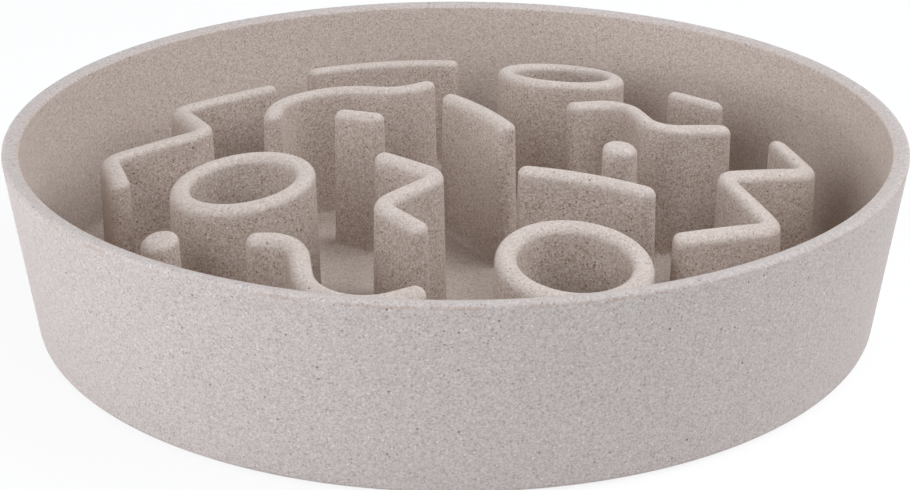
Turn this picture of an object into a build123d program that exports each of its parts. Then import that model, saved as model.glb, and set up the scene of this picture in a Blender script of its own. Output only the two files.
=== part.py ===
# Slow feeder bowl: a shallow tapered bowl whose floor carries a maze of upright walls
# with a domed top, standing on four rubber feet. Millimetres, +Z up.
# The origin is the middle of the bowl on the surface that it stands on, and -Y is the front.

import os
from math import atan, cos, radians, sin, tan

from build123d import *

os.makedirs("parts", exist_ok=True)

# Bowl
rim_diameter = 250.0
base_diameter = 238.2
bowl_height = 51.6
wall_thickness = 4.5
floor_thickness = 4.0
rim_slope = 18.0
rim_rounding = 1.2
lip_rounding = 0.8
base_rounding = 2.0
floor_rounding = 4.0

# Underside panel, set back inside an outer band that carries the feet
band_width = 28.0
panel_depth = 0.8
panel_rounding = 0.5

# Rubber feet, glued into pockets along the middle of the band
foot_names = ["foot_back_right", "foot_back_left", "foot_front_left", "foot_front_right"]
foot_diameter = 14.0
foot_thickness = 1.8
foot_projection = 0.8
foot_rounding = 0.5
foot_start_angle = 45.0
pocket_clearance = 0.1

# Maze walls: how thick they are, and the dome that their tops follow
crest_width = 5.3
crest_rounding = 2.2
draft_angle = 1.0
bend_radius = 5.0
dome_radius = 520.0
dome_apex_below_rim = 3.4
outer_channel_width = 13.0

# Flare at the foot of each maze wall, where it runs out into the floor
foot_flare = 1.5
toe_land = 0.3
toe_thickness = 0.2

# Rings and pegs, measured at the height of the dome's apex
ring_radius = 17.0
back_ring_radius = 17.5
peg_diameter = 9.6

# Levels and radii that follow from the sizes above
base_level = foot_projection
floor_level = base_level + floor_thickness
rim_level = base_level + bowl_height
apex_level = rim_level - dome_apex_below_rim
base_radius = base_diameter / 2
panel_radius = base_radius - band_width
foot_circle_radius = base_radius - band_width / 2
wall_lean = atan((rim_diameter - base_diameter) / 2 / bowl_height)
floor_radius = base_radius + floor_thickness * tan(wall_lean) - wall_thickness
maze_radius = floor_radius - outer_channel_width
maze_height = apex_level - floor_level
draft_growth = maze_height * tan(radians(draft_angle))
foot_width = crest_width + 2 * draft_growth

# The rim's top slopes down to the inside. Its rounding takes a little off the outer corner,
# so the corner starts that much wider and higher.
rim_tilt = radians(rim_slope)
rim_corner_run = rim_rounding * tan((radians(90) + wall_lean + rim_tilt) / 2)
rim_corner_radius = rim_diameter / 2 + rim_corner_run * cos(rim_tilt) - rim_rounding * (1 + sin(rim_tilt))
rim_corner_level = rim_level + rim_corner_run * sin(rim_tilt) - rim_rounding * (1 - cos(rim_tilt))
lip_run = wall_thickness / (1 - tan(rim_tilt) * tan(wall_lean))
lip_radius = rim_corner_radius - lip_run
lip_level = rim_corner_level - lip_run * tan(rim_tilt)


# Turns a place in the maze, in shares of the maze's radius, into a point on the bowl's floor
def at(x, y):
    return (x * maze_radius, y * maze_radius)


# Cuts the wall that is being built to the dome, and rounds its crest
def finish_crest(wall):
    with Locations((0, 0, apex_level - dome_radius)):
        Sphere(dome_radius, rotation=(0, 90, 0), mode=Mode.INTERSECT)
    fillet(wall.faces().filter_by(GeomType.SPHERE).edges(), radius=crest_rounding)


# Spreads the foot of the wall that is being built in a hollow curve
def flare_foot(wall):
    sole = wall.faces().sort_by(Axis.Z)[0]
    toe = offset(sole, amount=foot_flare + toe_land, mode=Mode.PRIVATE)
    extrude(toe, amount=toe_thickness, dir=(0, 0, 1))
    fillet(wall.edges(Select.NEW), radius=foot_flare)


# Raises a drafted wall of even thickness along a centreline, with rounded ends
def raise_wall(centreline, name):
    with BuildPart() as wall:
        with BuildSketch(Plane.XY.offset(floor_level)):
            SlotArc(centreline, height=foot_width)
        extrude(amount=maze_height, taper=draft_angle)
        finish_crest(wall)
        flare_foot(wall)
    wall.part.label = name
    export_step(wall.part, f"parts/{name}.step")


# Bowl: tapered wall, flat floor, rounded rim, recessed underside and foot pockets
with BuildPart() as bowl_shell:
    with BuildSketch(Plane.XZ):
        with BuildLine():
            Polyline(
                (0, base_level),
                (base_radius, base_level),
                (rim_corner_radius, rim_corner_level),
                (lip_radius, lip_level),
                (floor_radius, floor_level),
                (0, floor_level),
                close=True,
            )
        make_face()
    revolve(axis=Axis.Z)
    base_edge = bowl_shell.faces().sort_by(Axis.Z)[0].edges()
    fillet(base_edge, radius=base_rounding)
    rim_edges = bowl_shell.faces().sort_by(Axis.Z)[-1].edges().filter_by(GeomType.CIRCLE)
    fillet(rim_edges.sort_by(SortBy.RADIUS)[0], radius=lip_rounding)
    rim_edges = bowl_shell.faces().sort_by(Axis.Z)[-1].edges().filter_by(GeomType.CIRCLE)
    fillet(rim_edges.sort_by(SortBy.RADIUS)[-1], radius=rim_rounding)
    floor_edge = bowl_shell.edges().filter_by(GeomType.CIRCLE).filter_by_position(
        Axis.Z, floor_level, floor_level
    )
    fillet(floor_edge, radius=floor_rounding)
    with BuildSketch(Plane.XY.offset(base_level)):
        Circle(panel_radius)
    extrude(amount=panel_depth, mode=Mode.SUBTRACT)
    panel_edge = bowl_shell.edges().filter_by(GeomType.CIRCLE).filter_by_position(
        Axis.Z, base_level, base_level
    ).sort_by(SortBy.RADIUS)[0]
    fillet(panel_edge, radius=panel_rounding)
    with BuildSketch(Plane.XY.offset(base_level)):
        with PolarLocations(foot_circle_radius, len(foot_names), start_angle=foot_start_angle):
            Circle(foot_diameter / 2 + pocket_clearance)
    extrude(amount=foot_thickness - foot_projection, mode=Mode.SUBTRACT)
bowl_shell.part.label = "bowl_shell"
export_step(bowl_shell.part, "parts/bowl_shell.step")

# Rubber feet: flat discs with a rounded tread edge
foot_places = PolarLocations(foot_circle_radius, len(foot_names), start_angle=foot_start_angle)
for foot_name, foot_place in zip(foot_names, foot_places):
    with BuildPart() as foot:
        with BuildSketch(Plane(foot_place.position)):
            Circle(foot_diameter / 2)
        extrude(amount=foot_thickness)
        fillet(foot.edges().sort_by(Axis.Z)[0], radius=foot_rounding)
    foot.part.label = foot_name
    export_step(foot.part, f"parts/{foot_name}.step")

# Rings: round towers, open at the top
rings = {
    "ring_left": (at(-0.563, -0.271), ring_radius),
    "ring_back": (at(0.332, 0.736), back_ring_radius),
    "ring_front": (at(0.287, -0.744), ring_radius),
}
for ring_name, (ring_center, middle_radius) in rings.items():
    with BuildPart() as ring:
        with BuildSketch(Plane.XY.offset(floor_level)):
            with Locations(ring_center):
                Circle(middle_radius + foot_width / 2)
        extrude(amount=maze_height, taper=draft_angle)
        with BuildSketch(Plane.XY.offset(floor_level)):
            with Locations(ring_center):
                Circle(middle_radius - foot_width / 2)
        extrude(amount=maze_height, taper=-draft_angle, mode=Mode.SUBTRACT)
        finish_crest(ring)
        flare_foot(ring)
    ring.part.label = ring_name
    export_step(ring.part, f"parts/{ring_name}.step")

# Pegs: small round posts
peg_centers = {"peg_right": at(0.451, -0.065), "peg_front_left": at(-0.742, -0.566)}
for peg_name, peg_center in peg_centers.items():
    with BuildPart() as peg:
        with BuildSketch(Plane.XY.offset(floor_level)):
            with Locations(peg_center):
                Circle(peg_diameter / 2 + draft_growth)
        extrude(amount=maze_height, taper=draft_angle)
        finish_crest(peg)
        flare_foot(peg)
    peg.part.label = peg_name
    export_step(peg.part, f"parts/{peg_name}.step")

# Straight bars
bar_center_left_line = Line(at(-0.322, 0.214), at(-0.230, 0.164))
raise_wall(bar_center_left_line, "bar_center_left")
bar_back_right_line = Line(at(0.681, 0.571), at(0.786, 0.501))
raise_wall(bar_back_right_line, "bar_back_right")

# Gently curved bars
arc_back_line = ThreePointArc(at(-0.452, 0.872), at(-0.240, 0.935), at(-0.019, 0.930))
raise_wall(arc_back_line, "arc_back")
arc_center_line = ThreePointArc(at(-0.012, 0.349), at(0.073, 0.215), at(0.142, 0.071))
raise_wall(arc_center_line, "arc_center")
arc_right_line = ThreePointArc(at(0.191, -0.266), at(0.346, -0.297), at(0.495, -0.349))
raise_wall(arc_right_line, "arc_right")

# Zigzag walls
zigzag_left_line = FilletPolyline(
    at(-0.909, -0.166),
    at(-0.979, 0.045),
    at(-0.712, 0.160),
    at(-0.842, 0.464),
    at(-0.582, 0.611),
    radius=bend_radius,
)
raise_wall(zigzag_left_line, "zigzag_left")
zigzag_center_line = FilletPolyline(
    at(-0.191, -0.172), at(-0.034, -0.306), at(-0.199, -0.470), at(-0.095, -0.593), radius=bend_radius
)
raise_wall(zigzag_center_line, "zigzag_center")
zigzag_right_line = FilletPolyline(
    at(0.567, -0.595),
    at(0.818, -0.474),
    at(0.716, -0.194),
    at(0.977, -0.063),
    at(0.925, 0.142),
    radius=bend_radius,
)
raise_wall(zigzag_right_line, "zigzag_right")


# Wave walls: a straight, a right bend, a straight, a left bend and a last straight.
# Lengths and bend radii are shares of the maze's radius too, and headings and turns are degrees.
def wave_line(start, heading, first, right_bend, middle, left_bend, last):
    with BuildLine() as wave:
        lead = PolarLine(start, first * maze_radius, heading)
        turn_right = JernArc(lead @ 1, lead % 1, right_bend[0] * maze_radius, -right_bend[1])
        cross = PolarLine(turn_right @ 1, middle * maze_radius, direction=turn_right % 1)
        turn_left = JernArc(cross @ 1, cross % 1, left_bend[0] * maze_radius, left_bend[1])
        PolarLine(turn_left @ 1, last * maze_radius, direction=turn_left % 1)
    return wave.wire()


wave_right_line = wave_line(at(0.352, 0.301), 26.8, 0.083, (0.069, 101.1), 0.095, (0.071, 99.2), 0.133)
raise_wall(wave_right_line, "wave_right")
wave_back_left_line = wave_line(at(-0.532, 0.256), 89.9, 0.052, (0.188, 111.8), 0.044, (0.102, 69.8), 0.045)
raise_wall(wave_back_left_line, "wave_back_left")
wave_front_line = wave_line(at(-0.494, -0.611), -5.0, 0.014, (0.110, 76.3), 0.082, (0.164, 104.4), 0.050)
raise_wall(wave_front_line, "wave_front")
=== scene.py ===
import math

import bpy
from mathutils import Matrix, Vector


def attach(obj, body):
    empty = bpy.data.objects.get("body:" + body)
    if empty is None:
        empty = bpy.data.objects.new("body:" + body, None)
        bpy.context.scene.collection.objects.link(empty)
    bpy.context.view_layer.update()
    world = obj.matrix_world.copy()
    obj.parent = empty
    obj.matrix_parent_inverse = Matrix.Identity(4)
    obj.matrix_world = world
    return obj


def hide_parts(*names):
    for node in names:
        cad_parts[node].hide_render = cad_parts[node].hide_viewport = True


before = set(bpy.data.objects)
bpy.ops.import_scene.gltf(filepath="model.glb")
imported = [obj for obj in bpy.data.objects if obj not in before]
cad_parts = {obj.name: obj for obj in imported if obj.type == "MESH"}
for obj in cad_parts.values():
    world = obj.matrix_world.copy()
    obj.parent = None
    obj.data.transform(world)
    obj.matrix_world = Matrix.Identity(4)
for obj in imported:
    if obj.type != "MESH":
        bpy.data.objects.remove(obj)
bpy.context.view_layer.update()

# Bowl.
# A compression-moulded shell of plant fibre and binder: flat floor, leaning wall, a rim whose top slopes
# down to the inside, and a shallow panel set back in the underside so that an outer band carries the feet.
MM = 0.001
FOOT_PROJECTION = 0.8 * MM
BOWL_HEIGHT = 51.6 * MM
RIM_RADIUS = 125.0 * MM
BASE_RADIUS = 119.1 * MM
WALL_THICKNESS = 4.5 * MM
FLOOR_THICKNESS = 4.0 * MM
RIM_TILT = math.radians(18.0)
RIM_ROUNDING = 1.2 * MM
LIP_ROUNDING = 0.8 * MM
BASE_ROUNDING = 2.0 * MM
FLOOR_ROUNDING = 4.0 * MM
BAND_WIDTH = 28.0 * MM
PANEL_DEPTH = 0.8 * MM
PANEL_ROUNDING = 0.5 * MM
BOWL_SEGMENTS = 360
BOWL_CORNER_STEPS = 8
WALL_LEAN = math.atan((RIM_RADIUS - BASE_RADIUS) / BOWL_HEIGHT)
FLOOR_LEVEL = FOOT_PROJECTION + FLOOR_THICKNESS
RIM_LEVEL = FOOT_PROJECTION + BOWL_HEIGHT
FLOOR_RADIUS = BASE_RADIUS + FLOOR_THICKNESS * math.tan(WALL_LEAN) - WALL_THICKNESS

# Dome that the tops of the maze walls follow, where the composite is painted paler as a highlight
DOME_RADIUS = 520.0 * MM
DOME_APEX = RIM_LEVEL - 3.4 * MM


# Adds a node to a tree with its settings, and gives each input a link or a value. Inputs that share a name
# go by number: 1 to 4 are the from and to limits of a Map Range, and a Mix has its factor at 0, its two
# numbers at 2 and 3, and its two colours at 6 and 7.
def add(tree, kind, inputs=None, **settings):
    made = tree.nodes.new(kind)
    for name, value in settings.items():
        setattr(made, name, value)
    for key, value in (inputs or {}).items():
        if isinstance(value, bpy.types.NodeSocket):
            tree.links.new(value, made.inputs[key])
        else:
            made.inputs[key].default_value = value
    return made


# Turns an sRGB hex colour into linear RGBA
def paint(code):
    parts = [int(code[i : i + 2], 16) / 255 for i in (1, 3, 5)]
    return [p / 12.92 if p <= 0.04045 else ((p + 0.055) / 1.055) ** 2.4 for p in parts] + [1.0]


# Speckled plant-fibre composite, compression moulded: a warm grey ground packed with fine grains, with brown
# and pale husks and a few darker ones in it, a soft satin skin and a faint grain to the touch.
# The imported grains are 0.4 mm across and the husks 0.6 to 0.8 mm, about as coarse as they need to be to show.
PACKED_GRAIN = 0.38 * MM
PLAIN_CONTRAST = 0.60
MAZE_CONTRAST = 0.85
# Painted shade on the maze wall faces, and painted highlight on the crests and the rim top
MAZE_PAINTED_SHADE = 0.14
CREST_HIGHLIGHT = 0.10
RIM_HIGHLIGHT = 0.05
SKIN_GRAIN = 0.9 * MM
SKIN_RELIEF = 0.06 * MM
composite = bpy.data.materials.new("speckled_fibre_composite")
composite.use_nodes = True
tree = composite.node_tree
tree.nodes.clear()
place = add(tree, "ShaderNodeTexCoord").outputs["Object"]

# Inside the bowl the skin is browner than on the outer wall, as painted shade. On the maze walls the grains
# stand out more and the faces are browned as painted shade, apart from the crests, which are painted pale and
# smooth as a highlight, as is the rim top a little.
height = add(tree, "ShaderNodeSeparateXYZ", {"Vector": place}).outputs["Z"]
flat_place = add(tree, "ShaderNodeVectorMath", {0: place, 1: (1.0, 1.0, 0.0)}, operation="MULTIPLY")
from_axis = add(tree, "ShaderNodeVectorMath", {0: flat_place.outputs[0]}, operation="LENGTH").outputs["Value"]
base_middle = BASE_RADIUS - WALL_THICKNESS / 2
wall_middle = add(
    tree, "ShaderNodeMath", {0: height, 1: math.tan(WALL_LEAN), 2: base_middle}, operation="MULTIPLY_ADD"
)
depth_in = add(tree, "ShaderNodeMath", {0: wall_middle.outputs[0], 1: from_axis}, operation="SUBTRACT")
within = add(tree, "ShaderNodeMapRange", {"Value": depth_in.outputs[0], 1: 1.2 * MM, 2: 2.2 * MM})
over_floor = add(
    tree, "ShaderNodeMapRange", {"Value": height, 1: FLOOR_LEVEL - 2 * MM, 2: FLOOR_LEVEL - MM}
)
inside = add(
    tree, "ShaderNodeMath", {0: within.outputs[0], 1: over_floor.outputs[0]}, operation="MULTIPLY"
).outputs[0]
among_walls = add(
    tree, "ShaderNodeMapRange", {"Value": from_axis, 1: FLOOR_RADIUS - 4 * MM, 2: FLOOR_RADIUS - 9 * MM}
).outputs[0]
from_axis_squared = add(tree, "ShaderNodeMath", {0: from_axis, 1: from_axis}, operation="MULTIPLY")
dome_level = add(
    tree,
    "ShaderNodeMath",
    {0: from_axis_squared.outputs[0], 1: -0.5 / DOME_RADIUS, 2: DOME_APEX},
    operation="MULTIPLY_ADD",
)
under_dome = add(tree, "ShaderNodeMath", {0: dome_level.outputs[0], 1: height}, operation="SUBTRACT")
near_crest = add(
    tree,
    "ShaderNodeMapRange",
    {"Value": under_dome.outputs[0], 1: 0.8 * MM, 2: 4.5 * MM, 3: 1.0, 4: 0.0},
    interpolation_type="SMOOTHSTEP",
)
crest = add(
    tree, "ShaderNodeMath", {0: near_crest.outputs[0], 1: among_walls}, operation="MULTIPLY"
).outputs[0]
below_crests = add(tree, "ShaderNodeMath", {0: among_walls, 1: crest}, operation="SUBTRACT").outputs[0]
above_floor = add(
    tree, "ShaderNodeMapRange", {"Value": height, 1: FLOOR_LEVEL + MM, 2: FLOOR_LEVEL + 4 * MM}
)
maze_face = add(
    tree, "ShaderNodeMath", {0: below_crests, 1: above_floor.outputs[0]}, operation="MULTIPLY"
).outputs[0]
# Painted highlight: the rim top and the crests are made paler where light falls on them from above
rim_top_highlight = add(
    tree,
    "ShaderNodeMapRange",
    {"Value": height, 1: RIM_LEVEL - 3 * MM, 2: RIM_LEVEL - MM, 3: 0.0, 4: RIM_HIGHLIGHT},
)
painted_highlight = add(tree, "ShaderNodeMath", {0: crest, 1: CREST_HIGHLIGHT, 2: rim_top_highlight.outputs[0]}, operation="MULTIPLY_ADD")

# Ground: each packed grain has a tone of its own between two, which differ outside and inside, the warmer
# inside pair as painted shade
packed = add(tree, "ShaderNodeTexVoronoi", {"Vector": place, "Scale": 1 / PACKED_GRAIN})
packed_pick = add(tree, "ShaderNodeSeparateColor", {"Color": packed.outputs["Color"]})
contrast = add(tree, "ShaderNodeMapRange", {"Value": maze_face, 3: PLAIN_CONTRAST, 4: MAZE_CONTRAST})
packed_tone = add(
    tree, "ShaderNodeMix", {0: contrast.outputs[0], 2: 0.5, 3: packed_pick.outputs["Red"]}, data_type="FLOAT"
).outputs[0]
outer_ground = add(
    tree, "ShaderNodeMix", {0: packed_tone, 6: paint("#9D8F86"), 7: paint("#C9BFBA")}, data_type="RGBA"
)
# Warmer tones inside the bowl: painted shade for its shaded inside
shaded_inner_ground = add(
    tree, "ShaderNodeMix", {0: packed_tone, 6: paint("#A08B7B"), 7: paint("#D5C8BF")}, data_type="RGBA"
)
ground = add(
    tree,
    "ShaderNodeMix",
    {0: inside, 6: outer_ground.outputs[2], 7: shaded_inner_ground.outputs[2]},
    data_type="RGBA",
)
# Painted shade: the faces of the maze walls, below the crests and above the floor, mixed toward a dark brown
painted_shade = add(tree, "ShaderNodeMath", {0: maze_face, 1: MAZE_PAINTED_SHADE}, operation="MULTIPLY")
with_painted_shade = add(
    tree,
    "ShaderNodeMix",
    {0: painted_shade.outputs[0], 6: ground.outputs[2], 7: paint("#86684F")},
    data_type="RGBA",
)
# Crests and rim top mixed toward a pale tone: painted highlight
colour = add(
    tree, "ShaderNodeMix", {0: painted_highlight.outputs[0], 6: with_painted_shade.outputs[2], 7: paint("#D8D1CC")}, data_type="RGBA"
).outputs[2]

# Husks: brown, pale and dark ones, by the size of their cells in millimetres, how far they fill a cell, the
# share of cells that hold one, their tone, and how strongly they show elsewhere and on the maze walls
for cell_mm, fill, share, tone, weight, maze_weight in (
    (0.90, 0.36, 0.26, "#785C45", 0.44, 0.74),
    (1.05, 0.34, 0.20, "#E2DED9", 0.34, 0.42),
    (3.20, 0.12, 0.30, "#574336", 0.66, 0.78),
):
    husks = add(tree, "ShaderNodeTexVoronoi", {"Vector": place, "Scale": 1 / (cell_mm * MM)})
    strength = add(tree, "ShaderNodeMapRange", {"Value": maze_face, 3: weight, 4: maze_weight})
    body = add(
        tree,
        "ShaderNodeMapRange",
        {"Value": husks.outputs["Distance"], 1: fill * 0.6, 2: fill, 3: strength.outputs[0], 4: 0.0},
        interpolation_type="SMOOTHSTEP",
    )
    pick = add(tree, "ShaderNodeSeparateColor", {"Color": husks.outputs["Color"]})
    chosen = add(tree, "ShaderNodeMath", {0: pick.outputs["Red"], 1: share}, operation="LESS_THAN")
    mask = add(tree, "ShaderNodeMath", {0: body.outputs[0], 1: chosen.outputs[0]}, operation="MULTIPLY")
    colour = add(
        tree, "ShaderNodeMix", {0: mask.outputs[0], 6: colour, 7: paint(tone)}, data_type="RGBA"
    ).outputs[2]

# Thin tan line under the rim, where the two halves of the mould met and the fibre is pressed bare
LINE_HALF_WIDTH = 0.45 * MM
LINE_BREAK = 7 * MM
LINE_STRENGTH = 0.32
line_level = add(
    tree, "ShaderNodeMath", {0: height, 1: RIM_LEVEL - RIM_ROUNDING, 2: LINE_HALF_WIDTH}, operation="COMPARE"
)
outside = add(tree, "ShaderNodeMath", {0: 1.0, 1: within.outputs[0]}, operation="SUBTRACT")
line_mask = add(
    tree, "ShaderNodeMath", {0: line_level.outputs[0], 1: outside.outputs[0]}, operation="MULTIPLY"
)
line_noise = add(tree, "ShaderNodeTexNoise", {"Vector": place, "Scale": 1 / LINE_BREAK, "Detail": 4.0})
line_strength = add(
    tree,
    "ShaderNodeMapRange",
    {"Value": line_noise.outputs["Fac"], 1: 0.38, 2: 0.62, 3: 0.0, 4: LINE_STRENGTH},
)
line_amount = add(
    tree, "ShaderNodeMath", {0: line_mask.outputs[0], 1: line_strength.outputs[0]}, operation="MULTIPLY"
)
colour = add(
    tree, "ShaderNodeMix", {0: line_amount.outputs[0], 6: colour, 7: paint("#A98870")}, data_type="RGBA"
).outputs[2]

skin = add(tree, "ShaderNodeTexNoise", {"Vector": place, "Scale": 1 / SKIN_GRAIN, "Detail": 2.0})
gloss = add(tree, "ShaderNodeMapRange", {"Value": skin.outputs["Fac"], 1: 0.3, 2: 0.7, 3: 0.56, 4: 0.70})
relief = add(
    tree, "ShaderNodeBump", {"Height": skin.outputs["Fac"], "Strength": 0.25, "Distance": SKIN_RELIEF}
)
surface = add(
    tree,
    "ShaderNodeBsdfPrincipled",
    {
        "Base Color": colour,
        "Roughness": gloss.outputs[0],
        "IOR": 1.47,
        "Specular IOR Level": 0.35,
        "Normal": relief.outputs[0],
    },
)
add(tree, "ShaderNodeOutputMaterial", {"Surface": surface.outputs[0]})

# Turned piece: a corner-rounded outline in the XZ plane, spun about the Z axis
WELD = 0.002 * MM
lathe = bpy.data.node_groups.new("turned_piece", "GeometryNodeTree")
lathe.interface.new_socket("Geometry", in_out="OUTPUT", socket_type="NodeSocketGeometry")
lathe.interface.new_socket("Outline", in_out="INPUT", socket_type="NodeSocketGeometry")
lathe_segments = lathe.interface.new_socket("Segments", in_out="INPUT", socket_type="NodeSocketInt")
lathe_steps = lathe.interface.new_socket("Corner Steps", in_out="INPUT", socket_type="NodeSocketInt")
lathe_finish = lathe.interface.new_socket("Finish", in_out="INPUT", socket_type="NodeSocketMaterial")
given = add(lathe, "NodeGroupInput")
rounding = add(lathe, "GeometryNodeInputRadius")
rounded = add(
    lathe,
    "GeometryNodeFilletCurve",
    {
        "Curve": given.outputs["Outline"],
        "Count": given.outputs["Corner Steps"],
        "Radius": rounding.outputs[0],
        "Limit Radius": True,
    },
    mode="POLY",
)
count = add(lathe, "GeometryNodeAttributeDomainSize", {0: rounded.outputs[0]}, component="CURVE")
columns = add(lathe, "ShaderNodeMath", {0: given.outputs["Segments"], 1: 1.0}, operation="ADD")
sheet = add(
    lathe,
    "GeometryNodeMeshGrid",
    {"Vertices X": count.outputs["Point Count"], "Vertices Y": columns.outputs[0]},
)
index = add(lathe, "GeometryNodeInputIndex")
row_share = add(lathe, "ShaderNodeMath", {0: index.outputs[0], 1: columns.outputs[0]}, operation="DIVIDE")
row = add(lathe, "ShaderNodeMath", {0: row_share.outputs[0]}, operation="FLOOR")
column = add(lathe, "ShaderNodeMath", {0: index.outputs[0], 1: columns.outputs[0]}, operation="MODULO")
turn = add(lathe, "ShaderNodeMath", {0: column.outputs[0], 1: given.outputs["Segments"]}, operation="DIVIDE")
angle = add(lathe, "ShaderNodeMath", {0: turn.outputs[0], 1: 2 * math.pi}, operation="MULTIPLY")
spot_on_outline = add(
    lathe,
    "GeometryNodeSampleIndex",
    {
        "Geometry": rounded.outputs[0],
        "Value": add(lathe, "GeometryNodeInputPosition").outputs[0],
        "Index": row.outputs[0],
    },
    data_type="FLOAT_VECTOR",
    domain="POINT",
)
spun = add(
    lathe,
    "ShaderNodeVectorRotate",
    {"Vector": spot_on_outline.outputs[0], "Angle": angle.outputs[0]},
    rotation_type="Z_AXIS",
)
placed = add(
    lathe, "GeometryNodeSetPosition", {"Geometry": sheet.outputs["Mesh"], "Position": spun.outputs[0]}
)
closed = add(lathe, "GeometryNodeMergeByDistance", {"Geometry": placed.outputs[0], "Distance": WELD})
smooth = add(lathe, "GeometryNodeSetShadeSmooth", {"Geometry": closed.outputs[0], "Shade Smooth": True})
real = add(lathe, "GeometryNodeRealizeInstances", {"Geometry": smooth.outputs[0]})
dressed = add(
    lathe, "GeometryNodeSetMaterial", {"Geometry": real.outputs[0], "Material": given.outputs["Finish"]}
)
add(lathe, "NodeGroupOutput", {0: dressed.outputs[0]})


# Makes an open outline of corner points in the XZ plane, each with its rounding as the point's radius
def outline_curve(name, corners):
    curve = bpy.data.curves.new(name, "CURVE")
    curve.dimensions = "3D"
    spline = curve.splines.new("POLY")
    spline.points.add(len(corners) - 1)
    for point, (distance, level, radius) in zip(spline.points, corners):
        point.co = (distance, 0.0, level, 1.0)
        point.radius = radius
    made = bpy.data.objects.new(name, curve)
    bpy.context.scene.collection.objects.link(made)
    return made


# Runs a node tree on an object, evens out the shading of its flats, and leaves one plain mesh
def bake(source, name, node_tree, values):
    modifier = source.modifiers.new(node_tree.name, "NODES")
    modifier.node_group = node_tree
    for socket, value in values.items():
        modifier[socket.identifier] = value
    graph = bpy.context.evaluated_depsgraph_get()
    raw = bpy.data.objects.new(name + "_raw", bpy.data.meshes.new_from_object(source.evaluated_get(graph)))
    bpy.context.scene.collection.objects.link(raw)
    raw.modifiers.new("flat_faces", "WEIGHTED_NORMAL")
    graph = bpy.context.evaluated_depsgraph_get()
    made = bpy.data.objects.new(name, bpy.data.meshes.new_from_object(raw.evaluated_get(graph)))
    made.data.name = name
    bpy.context.scene.collection.objects.link(made)
    for used in (raw, source):
        bpy.data.objects.remove(used)
    return made


# The rim's outer corner, wider and higher by what its rounding takes off, and its lip on the inside
rim_run = RIM_ROUNDING * math.tan((math.pi / 2 + WALL_LEAN + RIM_TILT) / 2)
corner_radius = RIM_RADIUS + rim_run * math.cos(RIM_TILT) - RIM_ROUNDING * (1 + math.sin(RIM_TILT))
corner_level = RIM_LEVEL + rim_run * math.sin(RIM_TILT) - RIM_ROUNDING * (1 - math.cos(RIM_TILT))
lip_run = WALL_THICKNESS / (1 - math.tan(RIM_TILT) * math.tan(WALL_LEAN))
bowl_outline = outline_curve(
    "bowl_outline",
    [
        (0.0, FLOOR_LEVEL, 0.0),
        (FLOOR_RADIUS, FLOOR_LEVEL, FLOOR_ROUNDING),
        (corner_radius - lip_run, corner_level - lip_run * math.tan(RIM_TILT), LIP_ROUNDING),
        (corner_radius, corner_level, RIM_ROUNDING),
        (BASE_RADIUS, FOOT_PROJECTION, BASE_ROUNDING),
        (BASE_RADIUS - BAND_WIDTH, FOOT_PROJECTION, PANEL_ROUNDING),
        (BASE_RADIUS - BAND_WIDTH, FOOT_PROJECTION + PANEL_DEPTH, 0.0),
        (0.0, FOOT_PROJECTION + PANEL_DEPTH, 0.0),
    ],
)
bowl = bake(
    bowl_outline,
    "bowl",
    lathe,
    {lathe_segments: BOWL_SEGMENTS, lathe_steps: BOWL_CORNER_STEPS, lathe_finish: composite},
)
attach(bowl, "root")
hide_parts("bowl_shell")

# Rubber feet.
# Small discs punched from soft dark rubber and glued into pockets in the underside, so that the
# bowl doesn't slide while the dog eats.
FOOT_RADIUS = 7.0 * MM
FOOT_THICKNESS = 1.8 * MM
FOOT_ROUNDING = 0.5 * MM
FOOT_CIRCLE = BASE_RADIUS - BAND_WIDTH / 2
FOOT_START = math.radians(45)
FOOT_SEGMENTS = 48
FOOT_CORNER_STEPS = 5
FOOT_NAMES = ["foot_back_right", "foot_back_left", "foot_front_left", "foot_front_right"]

# Soft natural rubber, punched from sheet: dark grey brown, dull, with a fine calendered grain
DUST_PATCH = 3 * MM
TREAD_GRAIN = 0.4 * MM
TREAD_RELIEF = 0.05 * MM
rubber = bpy.data.materials.new("punched_sheet_rubber")
rubber.use_nodes = True
tree = rubber.node_tree
tree.nodes.clear()
place = add(tree, "ShaderNodeTexCoord").outputs["Object"]
dust = add(tree, "ShaderNodeTexNoise", {"Vector": place, "Scale": 1 / DUST_PATCH, "Detail": 4.0})
shade = add(
    tree,
    "ShaderNodeMix",
    {0: dust.outputs["Fac"], 6: paint("#55504C"), 7: paint("#6A645E")},
    data_type="RGBA",
)
tread = add(tree, "ShaderNodeTexNoise", {"Vector": place, "Scale": 1 / TREAD_GRAIN, "Detail": 2.0})
dull = add(tree, "ShaderNodeMapRange", {"Value": tread.outputs["Fac"], 3: 0.72, 4: 0.9})
grip = add(
    tree, "ShaderNodeBump", {"Height": tread.outputs["Fac"], "Strength": 0.3, "Distance": TREAD_RELIEF}
)
surface = add(
    tree,
    "ShaderNodeBsdfPrincipled",
    {"Base Color": shade.outputs[2], "Roughness": dull.outputs[0], "IOR": 1.52, "Normal": grip.outputs[0]},
)
add(tree, "ShaderNodeOutputMaterial", {"Surface": surface.outputs[0]})

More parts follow.
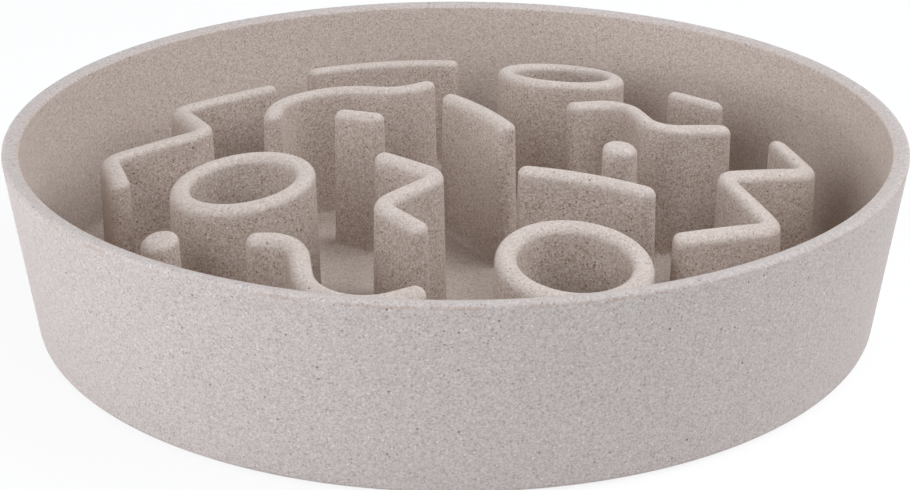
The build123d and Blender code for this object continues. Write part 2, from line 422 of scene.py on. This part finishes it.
# Set of feet: one turned disc, placed at even steps round a circle
foot_set = bpy.data.node_groups.new("foot_set", "GeometryNodeTree")
foot_set.interface.new_socket("Geometry", in_out="OUTPUT", socket_type="NodeSocketGeometry")
foot_set.interface.new_socket("Outline", in_out="INPUT", socket_type="NodeSocketGeometry")
foot_count = foot_set.interface.new_socket("Count", in_out="INPUT", socket_type="NodeSocketInt")
foot_circle = foot_set.interface.new_socket("Circle Radius", in_out="INPUT", socket_type="NodeSocketFloat")
foot_start = foot_set.interface.new_socket("Start Angle", in_out="INPUT", socket_type="NodeSocketFloat")
foot_finish = foot_set.interface.new_socket("Finish", in_out="INPUT", socket_type="NodeSocketMaterial")
given = add(foot_set, "NodeGroupInput")
disc = add(
    foot_set,
    "GeometryNodeGroup",
    {
        "Outline": given.outputs["Outline"],
        "Segments": FOOT_SEGMENTS,
        "Corner Steps": FOOT_CORNER_STEPS,
        "Finish": given.outputs["Finish"],
    },
    node_tree=lathe,
)
circle = add(
    foot_set,
    "GeometryNodeMeshCircle",
    {"Vertices": given.outputs["Count"], "Radius": given.outputs["Circle Radius"]},
)
heading = add(foot_set, "ShaderNodeCombineXYZ", {"Z": given.outputs["Start Angle"]})
turned = add(
    foot_set, "GeometryNodeTransform", {"Geometry": circle.outputs[0], "Rotation": heading.outputs[0]}
)
set_out = add(
    foot_set, "GeometryNodeInstanceOnPoints", {"Points": turned.outputs[0], "Instance": disc.outputs[0]}
)
real = add(foot_set, "GeometryNodeRealizeInstances", {"Geometry": set_out.outputs[0]})
dressed = add(
    foot_set, "GeometryNodeSetMaterial", {"Geometry": real.outputs[0], "Material": given.outputs["Finish"]}
)
add(foot_set, "NodeGroupOutput", {0: dressed.outputs[0]})
foot_outline = outline_curve(
    "foot_outline",
    [
        (0.0, FOOT_THICKNESS, 0.0),
        (FOOT_RADIUS, FOOT_THICKNESS, 0.0),
        (FOOT_RADIUS, 0.0, FOOT_ROUNDING),
        (0.0, 0.0, 0.0),
    ],
)
feet = bake(
    foot_outline,
    "feet",
    foot_set,
    {foot_count: len(FOOT_NAMES), foot_circle: FOOT_CIRCLE, foot_start: FOOT_START, foot_finish: rubber},
)
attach(feet, "root")
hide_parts(*FOOT_NAMES)

# Maze walls.
# Upright walls, rings and pegs moulded in one with the floor, each with a little draft, a rounded crest
# and a flared foot. Their crests follow a shallow dome that is highest over the middle of the bowl.
CREST_WIDTH = 5.3 * MM
CREST_ROUNDING = 2.2 * MM
DRAFT = math.tan(math.radians(1.0))
FOOT_FLARE = 1.5 * MM
FOOT_DEPTH = 0.3 * MM
TOE_REACH = 1.12
CREST_STEPS = 8
FLARE_STEPS = 6
OUTER_CHANNEL = 13.0 * MM
MAZE_RADIUS = FLOOR_RADIUS - OUTER_CHANNEL

# Section of a wall from the crest over one side, under the foot and up the other side. Each point has its
# side, its share of the wall's half width, how far it stands out and up from its crest or its foot, in crest
# roundings or foot flares, and whether it belongs to the crest. The foot reaches a little into the floor.
section_points = []
for side, order in ((1.0, 1), (-1.0, -1)):
    half_section = [(0.0, 0.0, 0.0, 1.0)]
    for step in range(CREST_STEPS + 1):
        bend = math.radians(90 - step * 90 / CREST_STEPS)
        half_section.append((1.0, math.cos(bend) - 1, math.sin(bend) - 1, 1.0))
    for step in range(FLARE_STEPS + 1):
        bend = math.radians(step * 90 / FLARE_STEPS)
        half_section.append((1.0, 1 - math.cos(bend), 1 - math.sin(bend), 0.0))
    half_section.append((1.0, TOE_REACH, -FOOT_DEPTH / FOOT_FLARE, 0.0))
    half_section.append((0.0, 0.0, -FOOT_DEPTH / FOOT_FLARE, 0.0))
    section_points += [(side, *point) for point in half_section[::order]]
section_points.append(section_points[0])
section_mesh = bpy.data.meshes.new("wall_section")
section_mesh.from_pydata([(0.0, 0.0, 0.0)] * len(section_points), [], [])
for number, name in enumerate(("side", "share", "out", "up", "on_crest")):
    store = section_mesh.attributes.new(name, "FLOAT", "POINT")
    store.data.foreach_set("value", [point[number] for point in section_points])
wall_section = bpy.data.objects.new("wall_section", section_mesh)
bpy.context.scene.collection.objects.link(wall_section)

# Maze wall: the section carried along a path on the floor, cut to the dome
wall_tree = bpy.data.node_groups.new("maze_wall", "GeometryNodeTree")
wall_tree.interface.new_socket("Geometry", in_out="OUTPUT", socket_type="NodeSocketGeometry")
wall_tree.interface.new_socket("Path", in_out="INPUT", socket_type="NodeSocketGeometry")
wall_shape = wall_tree.interface.new_socket("Section", in_out="INPUT", socket_type="NodeSocketObject")
wall_width = wall_tree.interface.new_socket("Crest Width", in_out="INPUT", socket_type="NodeSocketFloat")
wall_rounding = wall_tree.interface.new_socket(
    "Crest Rounding", in_out="INPUT", socket_type="NodeSocketFloat"
)
wall_draft = wall_tree.interface.new_socket("Draft", in_out="INPUT", socket_type="NodeSocketFloat")
wall_flare = wall_tree.interface.new_socket("Foot Flare", in_out="INPUT", socket_type="NodeSocketFloat")
wall_floor = wall_tree.interface.new_socket("Floor Level", in_out="INPUT", socket_type="NodeSocketFloat")
wall_apex = wall_tree.interface.new_socket("Dome Apex", in_out="INPUT", socket_type="NodeSocketFloat")
wall_dome = wall_tree.interface.new_socket("Dome Radius", in_out="INPUT", socket_type="NodeSocketFloat")
wall_finish = wall_tree.interface.new_socket("Finish", in_out="INPUT", socket_type="NodeSocketMaterial")
given = add(wall_tree, "NodeGroupInput")
path_in = given.outputs["Path"]
dome = given.outputs["Dome Radius"]
section_in = add(
    wall_tree, "GeometryNodeObjectInfo", {"Object": given.outputs["Section"]}
).outputs["Geometry"]
stations = add(
    wall_tree, "GeometryNodeAttributeDomainSize", {0: path_in}, component="MESH"
).outputs["Point Count"]
stops = add(
    wall_tree, "GeometryNodeAttributeDomainSize", {0: section_in}, component="MESH"
).outputs["Point Count"]
sheet = add(wall_tree, "GeometryNodeMeshGrid", {"Vertices X": stations, "Vertices Y": stops})
index = add(wall_tree, "GeometryNodeInputIndex").outputs[0]
station_share = add(wall_tree, "ShaderNodeMath", {0: index, 1: stops}, operation="DIVIDE")
station = add(wall_tree, "ShaderNodeMath", {0: station_share.outputs[0]}, operation="FLOOR").outputs[0]
stop = add(wall_tree, "ShaderNodeMath", {0: index, 1: stops}, operation="MODULO").outputs[0]
read = {}
for name, kind, source, number in (
    ("side", "FLOAT", section_in, stop),
    ("share", "FLOAT", section_in, stop),
    ("out", "FLOAT", section_in, stop),
    ("up", "FLOAT", section_in, stop),
    ("on_crest", "FLOAT", section_in, stop),
    ("spine", "FLOAT_VECTOR", path_in, station),
    ("right_way", "FLOAT_VECTOR", path_in, station),
    ("left_way", "FLOAT_VECTOR", path_in, station),
):
    stored = add(wall_tree, "GeometryNodeInputNamedAttribute", {"Name": name}, data_type=kind)
    read[name] = add(
        wall_tree,
        "GeometryNodeSampleIndex",
        {"Geometry": source, "Value": stored.outputs[0], "Index": number},
        data_type=kind,
        domain="POINT",
    ).outputs[0]

# How far each point stands out from the spine: the half width there, which grows with the draft, and its
# own step out
is_right = add(wall_tree, "FunctionNodeCompare", {"A": read["side"], "B": 0.0}, operation="GREATER_THAN")
way = add(
    wall_tree,
    "GeometryNodeSwitch",
    {"Switch": is_right.outputs[0], "False": read["left_way"], "True": read["right_way"]},
    input_type="VECTOR",
)
is_crest = add(wall_tree, "FunctionNodeCompare", {"A": read["on_crest"], "B": 0.5}, operation="GREATER_THAN")
unit = add(
    wall_tree,
    "GeometryNodeSwitch",
    {
        "Switch": is_crest.outputs[0],
        "False": given.outputs["Foot Flare"],
        "True": given.outputs["Crest Rounding"],
    },
    input_type="FLOAT",
)
out = add(wall_tree, "ShaderNodeMath", {0: read["out"], 1: unit.outputs[0]}, operation="MULTIPLY")
up = add(wall_tree, "ShaderNodeMath", {0: read["up"], 1: unit.outputs[0]}, operation="MULTIPLY")
half_crest = add(wall_tree, "ShaderNodeMath", {0: given.outputs["Crest Width"], 1: 0.5}, operation="MULTIPLY")
floor_fall = add(
    wall_tree,
    "ShaderNodeMath",
    {0: given.outputs["Dome Apex"], 1: given.outputs["Floor Level"]},
    operation="SUBTRACT",
)
spine_span = add(
    wall_tree, "ShaderNodeVectorMath", {0: read["spine"], 1: read["spine"]}, operation="DOT_PRODUCT"
)
double_dome = add(wall_tree, "ShaderNodeMath", {0: dome, 1: 2.0}, operation="MULTIPLY")
spine_fall = add(
    wall_tree,
    "ShaderNodeMath",
    {0: spine_span.outputs["Value"], 1: double_dome.outputs[0]},
    operation="DIVIDE",
)
below_apex = add(
    wall_tree,
    "GeometryNodeSwitch",
    {"Switch": is_crest.outputs[0], "False": floor_fall.outputs[0], "True": spine_fall.outputs[0]},
    input_type="FLOAT",
)
half_width = add(
    wall_tree,
    "ShaderNodeMath",
    {0: below_apex.outputs[0], 1: given.outputs["Draft"], 2: half_crest.outputs[0]},
    operation="MULTIPLY_ADD",
)
across = add(
    wall_tree,
    "ShaderNodeMath",
    {0: half_width.outputs[0], 1: read["share"], 2: out.outputs[0]},
    operation="MULTIPLY_ADD",
)
shift = add(
    wall_tree, "ShaderNodeVectorMath", {0: way.outputs[0], "Scale": across.outputs[0]}, operation="SCALE"
)
plan = add(
    wall_tree, "ShaderNodeVectorMath", {0: read["spine"], 1: shift.outputs[0]}, operation="ADD"
).outputs[0]

# How high each point lies: from the dome over it, or from the floor
plan_span = add(wall_tree, "ShaderNodeVectorMath", {0: plan, 1: plan}, operation="DOT_PRODUCT")
dome_square = add(wall_tree, "ShaderNodeMath", {0: dome, 1: dome}, operation="MULTIPLY")
dome_left = add(
    wall_tree,
    "ShaderNodeMath",
    {0: dome_square.outputs[0], 1: plan_span.outputs["Value"]},
    operation="SUBTRACT",
)
dome_height = add(wall_tree, "ShaderNodeMath", {0: dome_left.outputs[0]}, operation="SQRT")
dome_fall = add(wall_tree, "ShaderNodeMath", {0: dome, 1: dome_height.outputs[0]}, operation="SUBTRACT")
crest_level = add(
    wall_tree,
    "ShaderNodeMath",
    {0: given.outputs["Dome Apex"], 1: dome_fall.outputs[0]},
    operation="SUBTRACT",
)
start_level = add(
    wall_tree,
    "GeometryNodeSwitch",
    {"Switch": is_crest.outputs[0], "False": given.outputs["Floor Level"], "True": crest_level.outputs[0]},
    input_type="FLOAT",
)
level = add(wall_tree, "ShaderNodeMath", {0: start_level.outputs[0], 1: up.outputs[0]}, operation="ADD")
lift = add(wall_tree, "ShaderNodeCombineXYZ", {"Z": level.outputs[0]})
spot = add(wall_tree, "ShaderNodeVectorMath", {0: plan, 1: lift.outputs[0]}, operation="ADD")
placed = add(
    wall_tree, "GeometryNodeSetPosition", {"Geometry": sheet.outputs["Mesh"], "Position": spot.outputs[0]}
)
closed = add(wall_tree, "GeometryNodeMergeByDistance", {"Geometry": placed.outputs[0], "Distance": WELD})
smooth = add(wall_tree, "GeometryNodeSetShadeSmooth", {"Geometry": closed.outputs[0], "Shade Smooth": True})
real = add(wall_tree, "GeometryNodeRealizeInstances", {"Geometry": smooth.outputs[0]})
dressed = add(
    wall_tree, "GeometryNodeSetMaterial", {"Geometry": real.outputs[0], "Material": given.outputs["Finish"]}
)
add(wall_tree, "NodeGroupOutput", {0: dressed.outputs[0]})


# Turns a flat direction by an angle, counterclockwise
def swing(way, turn):
    c, s = math.cos(turn), math.sin(turn)
    return Vector((way.x * c - way.y * s, way.x * s + way.y * c, 0.0))


# Makes one maze wall from its stations, standing for the part of the same name.
# A station is a point on the wall's centreline, with the way out to its right and to its left.
def raise_wall(name, found, width):
    mesh = bpy.data.meshes.new(name + "_path")
    mesh.from_pydata([(0.0, 0.0, 0.0)] * len(found), [], [])
    for number, attribute in enumerate(("spine", "right_way", "left_way")):
        store = mesh.attributes.new(attribute, "FLOAT_VECTOR", "POINT")
        store.data.foreach_set("vector", [value for point in found for value in point[number]])
    path = bpy.data.objects.new(name + "_path", mesh)
    bpy.context.scene.collection.objects.link(path)
    sizes = {
        wall_shape: wall_section,
        wall_width: width,
        wall_rounding: CREST_ROUNDING,
        wall_draft: DRAFT,
        wall_flare: FOOT_FLARE,
        wall_floor: FLOOR_LEVEL,
        wall_apex: DOME_APEX,
        wall_dome: DOME_RADIUS,
        wall_finish: composite,
    }
    wall = bake(path, name + "_wall", wall_tree, sizes)
    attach(wall, "root")
    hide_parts(name)


# Rings.
# Round towers, open at the top, that hold a portion of food each. Their places in the maze, as those of
# all the walls below, are shares of the maze's radius.
RING_STEPS = 96
for name, x, y, radius in (
    ("ring_left", -0.563, -0.271, 17.0 * MM),
    ("ring_back", 0.332, 0.736, 17.5 * MM),
    ("ring_front", 0.287, -0.744, 17.0 * MM),
):
    hub = Vector((x, y, 0.0)) * MAZE_RADIUS
    found = []
    for step in range(RING_STEPS + 1):
        outer = swing(Vector((1.0, 0.0, 0.0)), 2 * math.pi * step / RING_STEPS)
        found.append((hub + outer * radius, outer, -outer))
    raise_wall(name, found, CREST_WIDTH)

# Pegs.
# Single round posts of the same moulding that stand in the wider gaps. Each is a wall that has no length,
# so its two sides swing round one point and meet.
PEG_WIDTH = 9.6 * MM
PEG_STEPS = 32
for name, x, y in (("peg_right", 0.451, -0.065), ("peg_front_left", -0.742, -0.566)):
    hub = Vector((x, y, 0.0)) * MAZE_RADIUS
    found = []
    for step in range(PEG_STEPS + 1):
        right = swing(Vector((-1.0, 0.0, 0.0)), math.pi * step / PEG_STEPS)
        found.append((hub, right, Vector((right.x, -right.y, 0.0))))
    raise_wall(name, found, PEG_WIDTH)

# Bars and zigzags.
# Walls of the same moulding along a straight or a zigzag line, given by its corner points, with the same
# bend at each corner.
BEND_RADIUS = 5.0 * MM
END_STEPS = 8
LEG_STEP = 4 * MM
BEND_STEP = math.radians(5)
LEAST_BEND_STEPS = 8


# Stations along a path of corner points, with a bend at each corner between its round ends
def path_stations(corners, bends):
    points = [Vector((x, y, 0.0)) * MAZE_RADIUS for x, y in corners]
    ways = [(b - a).normalized() for a, b in zip(points[:-1], points[1:])]
    quarter = math.pi / 2
    found = []
    for step in range(END_STEPS + 1):
        turn = quarter * (2 - step / END_STEPS)
        found.append((points[0], swing(ways[0], -turn), swing(ways[0], turn)))
    leg_start = points[0]
    for number, way in enumerate(ways):
        corner = points[number + 1]
        last = number == len(ways) - 1
        turn = 0.0 if last else math.atan2(way.cross(ways[number + 1]).z, way.dot(ways[number + 1]))
        cut = 0.0 if last else bends[number] * math.tan(abs(turn) / 2)
        leg_end = corner - way * cut
        steps = max(2, round((leg_end - leg_start).length / LEG_STEP))
        for step in range(1, steps + 1):
            spot = leg_start.lerp(leg_end, step / steps)
            found.append((spot, swing(way, -quarter), swing(way, quarter)))
        if not last:
            inward = math.copysign(quarter, turn)
            hub = leg_end + swing(way, inward) * bends[number]
            steps = max(LEAST_BEND_STEPS, round(abs(turn) / BEND_STEP))
            for step in range(1, steps + 1):
                now = swing(way, turn * step / steps)
                spot = hub - swing(now, inward) * bends[number]
                found.append((spot, swing(now, -quarter), swing(now, quarter)))
            leg_start = corner + ways[number + 1] * cut
    for step in range(1, END_STEPS + 1):
        turn = quarter * (1 - step / END_STEPS)
        found.append((points[-1], swing(ways[-1], -turn), swing(ways[-1], turn)))
    return found


for name, corners in (
    ("bar_center_left", [(-0.322, 0.214), (-0.230, 0.164)]),
    ("bar_back_right", [(0.681, 0.571), (0.786, 0.501)]),
    ("zigzag_left", [(-0.909, -0.166), (-0.979, 0.045), (-0.712, 0.160), (-0.842, 0.464), (-0.582, 0.611)]),
    ("zigzag_center", [(-0.191, -0.172), (-0.034, -0.306), (-0.199, -0.470), (-0.095, -0.593)]),
    ("zigzag_right", [(0.567, -0.595), (0.818, -0.474), (0.716, -0.194), (0.977, -0.063), (0.925, 0.142)]),
):
    raise_wall(name, path_stations(corners, [BEND_RADIUS] * (len(corners) - 2)), CREST_WIDTH)

# Arcs.
# Gently curved walls of the same moulding, each given by its two ends and a point between them. Each is a
# path with one bend, as wide as the circle through the three points, and its corner is where the tangents
# at the two ends meet.
for name, start, middle, end in (
    ("arc_back", (-0.452, 0.872), (-0.240, 0.935), (-0.019, 0.930)),
    ("arc_center", (-0.012, 0.349), (0.073, 0.215), (0.142, 0.071)),
    ("arc_right", (0.191, -0.266), (0.346, -0.297), (0.495, -0.349)),
):
    by = Vector(middle) - Vector(start)
    to = Vector(end) - Vector(start)
    lean = Vector((to.y, -to.x)) * by.length_squared - Vector((by.y, -by.x)) * to.length_squared
    hub = lean / (2 * by.cross(to))
    rise = to / 2 - hub
    corner = Vector(start) + hub + rise * hub.length_squared / rise.length_squared
    raise_wall(name, path_stations([start, corner, end], [hub.length * MAZE_RADIUS]), CREST_WIDTH)

# Waves.
# S-shaped walls of the same moulding: a straight, a bend to the right, a straight, a bend to the left and a
# last straight. A bend has a radius and a turn in degrees.
for name, start, heading, first, right_bend, middle, left_bend, last in (
    ("wave_right", (0.352, 0.301), 26.8, 0.083, (0.069, 101.1), 0.095, (0.071, 99.2), 0.133),
    ("wave_back_left", (-0.532, 0.256), 89.9, 0.052, (0.188, 111.8), 0.044, (0.102, 69.8), 0.045),
    ("wave_front", (-0.494, -0.611), -5.0, 0.014, (0.110, 76.3), 0.082, (0.164, 104.4), 0.050),
):
    way = swing(Vector((1.0, 0.0, 0.0)), math.radians(heading))
    right_cut = right_bend[0] * math.tan(math.radians(right_bend[1]) / 2)
    left_cut = left_bend[0] * math.tan(math.radians(left_bend[1]) / 2)
    corners = [Vector((*start, 0.0))]
    for length, turn in (
        (first + right_cut, -right_bend[1]),
        (right_cut + middle + left_cut, left_bend[1]),
        (left_cut + last, 0.0),
    ):
        corners.append(corners[-1] + way * length)
        way = swing(way, math.radians(turn))
    bends = [right_bend[0] * MAZE_RADIUS, left_bend[0] * MAZE_RADIUS]
    raise_wall(name, path_stations([corner.xy for corner in corners], bends), CREST_WIDTH)
bpy.data.objects.remove(wall_section)

# Studio.
# A pale paper floor that shows white and keeps the bowl's soft shadow, and large soft daylight lamps: two on
# the left, two in front, two on the right and a weak one behind. The view is the photograph's, a long lens
# a little above the rim.
FLOOR_REACH = 6.0
WHITE_SHARE = 0.88
SOFT_LEVEL = 0.08
LAMP_DISTANCE = 1.3
LAMP_AIM = 20 * MM
floor_mesh = bpy.data.meshes.new("floor")
floor_corners = [(x * FLOOR_REACH, y * FLOOR_REACH, 0) for x, y in ((-1, -1), (1, -1), (1, 1), (-1, 1))]
floor_mesh.from_pydata(floor_corners, [], [(0, 1, 2, 3)])
floor = bpy.data.objects.new("floor", floor_mesh)
bpy.context.scene.collection.objects.link(floor)

# Matt white paper, which the camera and reflections see mostly as plain white
paper = bpy.data.materials.new("white_paper")
paper.use_nodes = True
tree = paper.node_tree
tree.nodes.clear()
rays = add(tree, "ShaderNodeLightPath").outputs
seen = add(tree, "ShaderNodeMath", {0: rays["Is Camera Ray"], 1: rays["Is Glossy Ray"]}, operation="MAXIMUM")
white_part = add(tree, "ShaderNodeMath", {0: seen.outputs[0], 1: WHITE_SHARE}, operation="MULTIPLY")
matt = add(tree, "ShaderNodeBsdfDiffuse", {"Color": paint("#F2F2F2")})
glow = add(tree, "ShaderNodeEmission", {"Color": paint("#FFFFFF"), "Strength": 1.0})
both = add(tree, "ShaderNodeMixShader", {0: white_part.outputs[0], 1: matt.outputs[0], 2: glow.outputs[0]})
add(tree, "ShaderNodeOutputMaterial", {"Surface": both.outputs[0]})
floor_mesh.materials.append(paper)

# Surroundings: a little soft daylight, and white where the camera or a reflection looks past the floor
daylight = paint("#F1F7FF")
world = bpy.data.worlds.new("studio")
bpy.context.scene.world = world
world.use_nodes = True
tree = world.node_tree
tree.nodes.clear()
rays = add(tree, "ShaderNodeLightPath").outputs
seen = add(tree, "ShaderNodeMath", {0: rays["Is Camera Ray"], 1: rays["Is Glossy Ray"]}, operation="MAXIMUM")
soft = add(tree, "ShaderNodeBackground", {"Color": daylight, "Strength": SOFT_LEVEL})
bright = add(tree, "ShaderNodeBackground", {"Color": paint("#FFFFFF"), "Strength": 1.0})
sky = add(tree, "ShaderNodeMixShader", {0: seen.outputs[0], 1: soft.outputs[0], 2: bright.outputs[0]})
add(tree, "ShaderNodeOutputWorld", {"Surface": sky.outputs[0]})

# Lamps: turn from the front and height, in degrees, then width and height in metres, and power in watts
for name, azimuth, elevation, wide, tall, power in (
    ("lamp_left_low", -76, 5, 0.9, 0.2, 5.6),
    ("lamp_left", -80, 20, 0.8, 0.8, 4.2),
    ("lamp_front_left", -40, 30, 0.8, 0.8, 8.7),
    ("lamp_front_right", 45, 45, 0.8, 0.8, 6.2),
    ("lamp_right", 90, 30, 0.8, 0.8, 6.2),
    ("lamp_right_high", 95, 60, 0.8, 0.8, 7.4),
    ("lamp_back", 175, 35, 0.8, 0.8, 3.2),
):
    lamp = bpy.data.lights.new(name, "AREA")
    lamp.shape = "RECTANGLE"
    lamp.size = wide
    lamp.size_y = tall
    lamp.energy = power
    lamp.color = daylight[:3]
    stand = bpy.data.objects.new(name, lamp)
    stand.rotation_euler = (math.radians(90 - elevation), 0.0, math.radians(azimuth))
    stand.location = stand.rotation_euler.to_matrix() @ Vector((0.0, 0.0, LAMP_DISTANCE))
    stand.location.z += LAMP_AIM
    bpy.context.scene.collection.objects.link(stand)

# Camera: its focal length and shifts in pixels of a picture 910 pixels wide, its tilt down in degrees
PICTURE_WIDTH = 910
FOCAL_LENGTH = 1832
SHIFT_RIGHT = -0.58
SHIFT_UP = 0.5
CAMERA_BACK = 489.71 * MM
CAMERA_HEIGHT = 220.23 * MM
CAMERA_TILT = 22.88
camera = bpy.data.objects.new("camera", bpy.data.cameras.new("camera"))
camera.data.sensor_width = 36.0
camera.data.lens = FOCAL_LENGTH / PICTURE_WIDTH * camera.data.sensor_width
camera.data.shift_x = SHIFT_RIGHT / PICTURE_WIDTH
camera.data.shift_y = SHIFT_UP / PICTURE_WIDTH
camera.data.clip_start = 0.01
camera.location = (0.0, -CAMERA_BACK, CAMERA_HEIGHT)
camera.rotation_euler = (math.radians(90 - CAMERA_TILT), 0.0, 0.0)
bpy.context.scene.collection.objects.link(camera)
bpy.context.scene.camera = camera
bpy.context.scene.view_settings.view_transform = "Standard"

bpy.context.view_layer.update()
